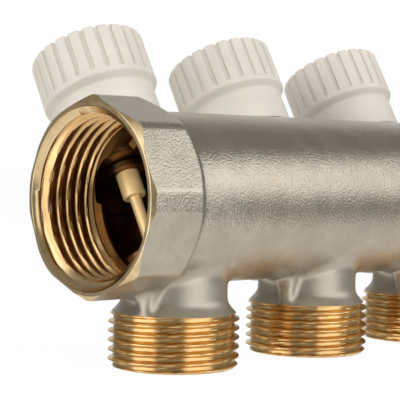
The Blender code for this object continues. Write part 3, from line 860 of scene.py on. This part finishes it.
# ------------------------------------------------------------------ valves
# (radius, height) outlines along the valve axis
GUIDE = [(2.2, 8.38), (2.34, 8.3), (2.4, 8.15), (2.4, 6.75), (3.7, 6.68), (3.88, 6.5),
         (3.88, 5.5), (3.7, 5.32), (2.6, 5.25), (2.4, 5.05), (2.4, 0.1), (2.36, -0.15),
         (2.2, -0.33), (2.0, -0.38), (1.66, -0.38), (1.6, -0.3), (1.6, 8.3), (1.68, 8.38)]
SPINDLE = [(0, 26.58), (2.7, 26.58), (2.98, 26.2), (2.98, 24.82), (1.35, 24.82),
           (1.2, 24.6), (1.2, -12.9), (0.9, -13.28), (0, -13.28)]
WASHER = [(1.6, 24.1), (1.6, 24.48), (4.58, 24.48), (4.58, 23.72), (1.6, 23.72), (1.6, 24.05)]
DISC = [(1.6, -12.4), (1.6, -11.02), (2.75, -11.02), (2.98, -11.4), (2.98, -12.6),
        (6.3, -12.9), (6.58, -13.2), (6.58, -15.88), (5.92, -15.88), (5.92, -14.3),
        (0.3, -14.3), (0.3, -13.75), (1.6, -13.75), (1.6, -12.45)]
DISC_SEAL = [(0, -14.62), (5.58, -14.62), (5.58, -16.38), (0, -16.38)]


def build_valve(number, x, flute_turn):
    at = valve_frame(x)
    spindle = "spindle_%d" % number

    def place(obj, body, piece, slot, angle=32.0):
        put(obj, body, "%s_%d" % (piece, number), angle)

    place(insert_mesh("insert_%d" % number, at), "manifold", "valve_insert", "brass", 30)
    place(ring("insert_seal_%d" % number, circle_loop(7.9, 11.05, 0.74, 0.40), 72, at, [RUBBER]),
          "manifold", "insert_o_ring", "black_rubber")
    # the guide's collar, between 5.1 and 6.9 mm, takes the brass with painted shade
    place(ring("guide_%d" % number, GUIDE, 64, at, [BRASS_VALVE, BRASS_SHADED_PARTS], dark=(5.1, 6.9)),
          "manifold", "stem_guide", "brass", 40)
    place(ring("spindle_seal_%d" % number, circle_loop(2.06, 9.4, 0.48, 0.50, 12), 40, at,
               [RUBBER]),
          "manifold", "stem_o_ring", "black_rubber")
    place(coil_mesh("spring_%d" % number, at), "manifold", "return_spring", "stainless", 50)
    place(lathe(spindle, SPINDLE, 48, at, [BRASS_VALVE], radius=0.25, count=5),
          spindle, "stem", "brass", 35)
    place(ring("washer_%d" % number, rounded(WASHER, 0.14, 4), 56, at, [STEEL]),
          spindle, "spring_retainer", "stainless", 40)
    # the disc takes the brass with painted shade
    place(ring("disc_%d" % number, rounded(DISC, 0.16, 4), 72, at, [BRASS_SHADED_PARTS]),
          spindle, "valve_disc", "brass", 40)
    place(lathe("disc_seal_%d" % number, DISC_SEAL, 64, at, [RUBBER], radius=0.3, count=5),
          spindle, "seat_seal", "black_rubber", 40)
    cap = "cap_%d" % number
    place(cap_mesh(cap, at, flute_turn), cap, "valve_cap", "white_plastic", 38)


build_bar()
put(ring("end_seal_ring", circle_loop(16.6, SHOULDER_X + 4.4, 1.08, 0.93), 128, ALONG, [RUBBER]),
    "manifold", "end_o_ring")
for number, (x, flute_turn) in enumerate(zip(OUTLETS, FLUTE_TURNS), 1):
    build_valve(number, x, flute_turn)

# ------------------------------------------------------------------ camera
YAW, PITCH, ROLL = math.radians(47.152), math.radians(-1.824), math.radians(1.124)
EYE = Vector((-158.553, -201.602, 8.361))
AWAY = Vector((math.cos(YAW), math.sin(YAW), 0))       # level, the way the camera looks
RIGHT = Vector((math.sin(YAW), -math.cos(YAW), 0))


def build_camera():
    data = bpy.data.cameras.new("camera")
    data.sensor_width = 36.0
    data.lens = 124.7535
    data.clip_start = 0.01
    data.clip_end = 10.0
    camera = bpy.data.objects.new("camera", data)
    bpy.context.scene.collection.objects.link(camera)
    forward = AWAY * math.cos(PITCH) + Vector((0, 0, math.sin(PITCH)))
    up = RIGHT.cross(forward)
    rolled_right = RIGHT * math.cos(ROLL) + up * math.sin(ROLL)
    rolled_up = -RIGHT * math.sin(ROLL) + up * math.cos(ROLL)
    turn = Matrix((rolled_right, rolled_up, -forward)).transposed().to_4x4()
    camera.matrix_world = Matrix.Translation((EYE + DATUM) * MM) @ turn
    bpy.context.scene.camera = camera


# ------------------------------------------------------------------ lights
LIGHT_TARGET = Vector((0.0, 0.0, 0.035))


def soft_light(name, azimuth, elevation, distance, size, power, colour):
    """A rectangular light, sizes in metres; azimuth in degrees rightward from the camera."""
    turn, rise = math.radians(azimuth), math.radians(elevation)
    level = -AWAY * math.cos(turn) + RIGHT * math.sin(turn)
    direction = level * math.cos(rise) + Vector((0, 0, math.sin(rise)))
    light = bpy.data.lights.new(name, "AREA")
    light.shape = "RECTANGLE"
    light.size, light.size_y = size
    light.energy = power
    light.color = colour
    obj = bpy.data.objects.new(name, light)
    bpy.context.scene.collection.objects.link(obj)
    obj.location = LIGHT_TARGET + direction * distance
    obj.rotation_euler = (-direction).to_track_quat("-Z", "Y").to_euler()
    return obj


def inside_lamp():
    """A narrow lamp from beside the camera, through the open end to guides and spindles."""
    place, target = Vector((-200.0, -172.0, 12.0)), Vector((20.0, 2.0, -1.0))
    lamp = bpy.data.lights.new("lamp_inside", "SPOT")
    lamp.energy = 4.2
    lamp.color = (1.0, 0.93, 0.80)
    lamp.spot_size = math.radians(9)
    lamp.spot_blend = 0.6
    lamp.shadow_soft_size = 0.012
    obj = bpy.data.objects.new("lamp_inside", lamp)
    bpy.context.scene.collection.objects.link(obj)
    obj.location = (place + DATUM) * MM
    obj.rotation_euler = (target - place).to_track_quat("-Z", "Y").to_euler()
    obj.visible_glossy = False


def build_lights():
    soft_light("box_right", azimuth=63, elevation=22.5, distance=0.62, size=(1.10, 0.44),
               power=1.92, colour=(1.0, 0.985, 0.955))
    soft_light("box_right_low", azimuth=45, elevation=-15, distance=0.62, size=(0.58, 0.36),
               power=0.72, colour=(1.0, 0.985, 0.955))
    soft_light("box_left", azimuth=-55, elevation=8, distance=0.62, size=(0.50, 0.86),
               power=1.75, colour=(1.0, 0.98, 0.95))
    # fills, unseen in reflections: name, azimuth, elevation, power
    for name, azimuth, elevation, power in (
            ("fill_top", 0, 62, 4.2), ("fill_left", -75, 15, 2.6),
            ("fill_right", 70, 20, 3.0), ("fill_low", 5, -4, 1.6)):
        fill = soft_light(name, azimuth, elevation, distance=0.9, size=(1.2, 1.0),
                          power=power, colour=(1.0, 0.985, 0.96))
        fill.visible_glossy = False
    inside_lamp()


# ------------------------------------------------------------------ floor and world
def build_floor():
    """A pale floor that the camera sees as almost pure white."""
    half = 3000
    floor = new_object("floor", [(-half, -half, 0), (half, -half, 0), (half, half, 0),
                                 (-half, half, 0)],
                       [[0, 1, 2, 3]], Matrix.Translation((0, 0, -0.0004)))
    m = Material("pale_floor")
    cloud = m.noise(m.coords(), scale=0.02, detail=2.0, rough=0.5)
    m.set("Base Color", m.ramp(cloud, [(0.3, (0.86, 0.83, 0.79)), (0.7, (0.90, 0.87, 0.83))]))
    m.set("Roughness", 0.9)
    glow = m.node("Emission")
    glow.inputs["Color"].default_value = (1, 1, 1, 1)
    glow.inputs["Strength"].default_value = 1.0
    seen = m.calc("MULTIPLY", m.node("LightPath").outputs["Is Camera Ray"], 0.965)
    surface = m.mix_shaders(seen, m.principled.outputs["BSDF"], glow.outputs["Emission"])
    m.feed(m.output.inputs["Surface"], surface)
    floor.data.materials.append(m.material)
    # reflections look past the floor, at the studio's own lower half
    floor.visible_glossy = False
    floor.visible_shadow = False


def build_world():
    """White to the camera; a dim studio with pale patches to everything else."""
    world = bpy.data.worlds.new("studio")
    bpy.context.scene.world = world
    w = Nodes(world)

    def background(colour, strength):
        node = w.node("Background")
        node.inputs["Color"].default_value = (*colour, 1)
        node.inputs["Strength"].default_value = strength
        return node.outputs[0]

    def smooth_step(value, start, end):
        node = w.node("MapRange")
        node.interpolation_type = "SMOOTHSTEP"
        node.inputs["From Min"].default_value = start
        node.inputs["From Max"].default_value = end
        w.feed(node.inputs["Value"], value)
        return node.outputs["Result"]

    output = w.node("OutputWorld")
    white = background(colour=(1, 1, 1), strength=1.0)
    room = background(colour=(1.0, 0.96, 0.88), strength=0.24)
    # a pale backdrop behind the object, as polished edges see it
    direction = w.node("TexCoord").outputs["Generated"]
    facing = w.node("VectorMath")
    facing.operation = "DOT_PRODUCT"
    facing.inputs[1].default_value = (math.cos(YAW) * 0.98, math.sin(YAW) * 0.98, 0.2)
    w.feed(facing.inputs[0], direction)
    behind = smooth_step(facing.outputs["Value"], start=0.82, end=0.98)
    backdrop = background(colour=(1.0, 0.98, 0.95), strength=0.75)
    # the lower half: dark along the horizon, pale further down
    split = w.node("SeparateXYZ")
    w.feed(split.inputs[0], direction)
    below = smooth_step(split.outputs["Z"], start=-0.20, end=-0.42)
    ground = background(colour=(1.0, 0.96, 0.90), strength=0.82)
    studio = w.mix_shaders(below, room, ground)
    studio = w.mix_shaders(behind, studio, backdrop)
    to_camera = w.node("LightPath").outputs["Is Camera Ray"]
    w.feed(output.inputs["Surface"], w.mix_shaders(to_camera, studio, white))


build_camera()
build_lights()
build_floor()
build_world()
bpy.context.scene.view_settings.view_transform = "Standard"
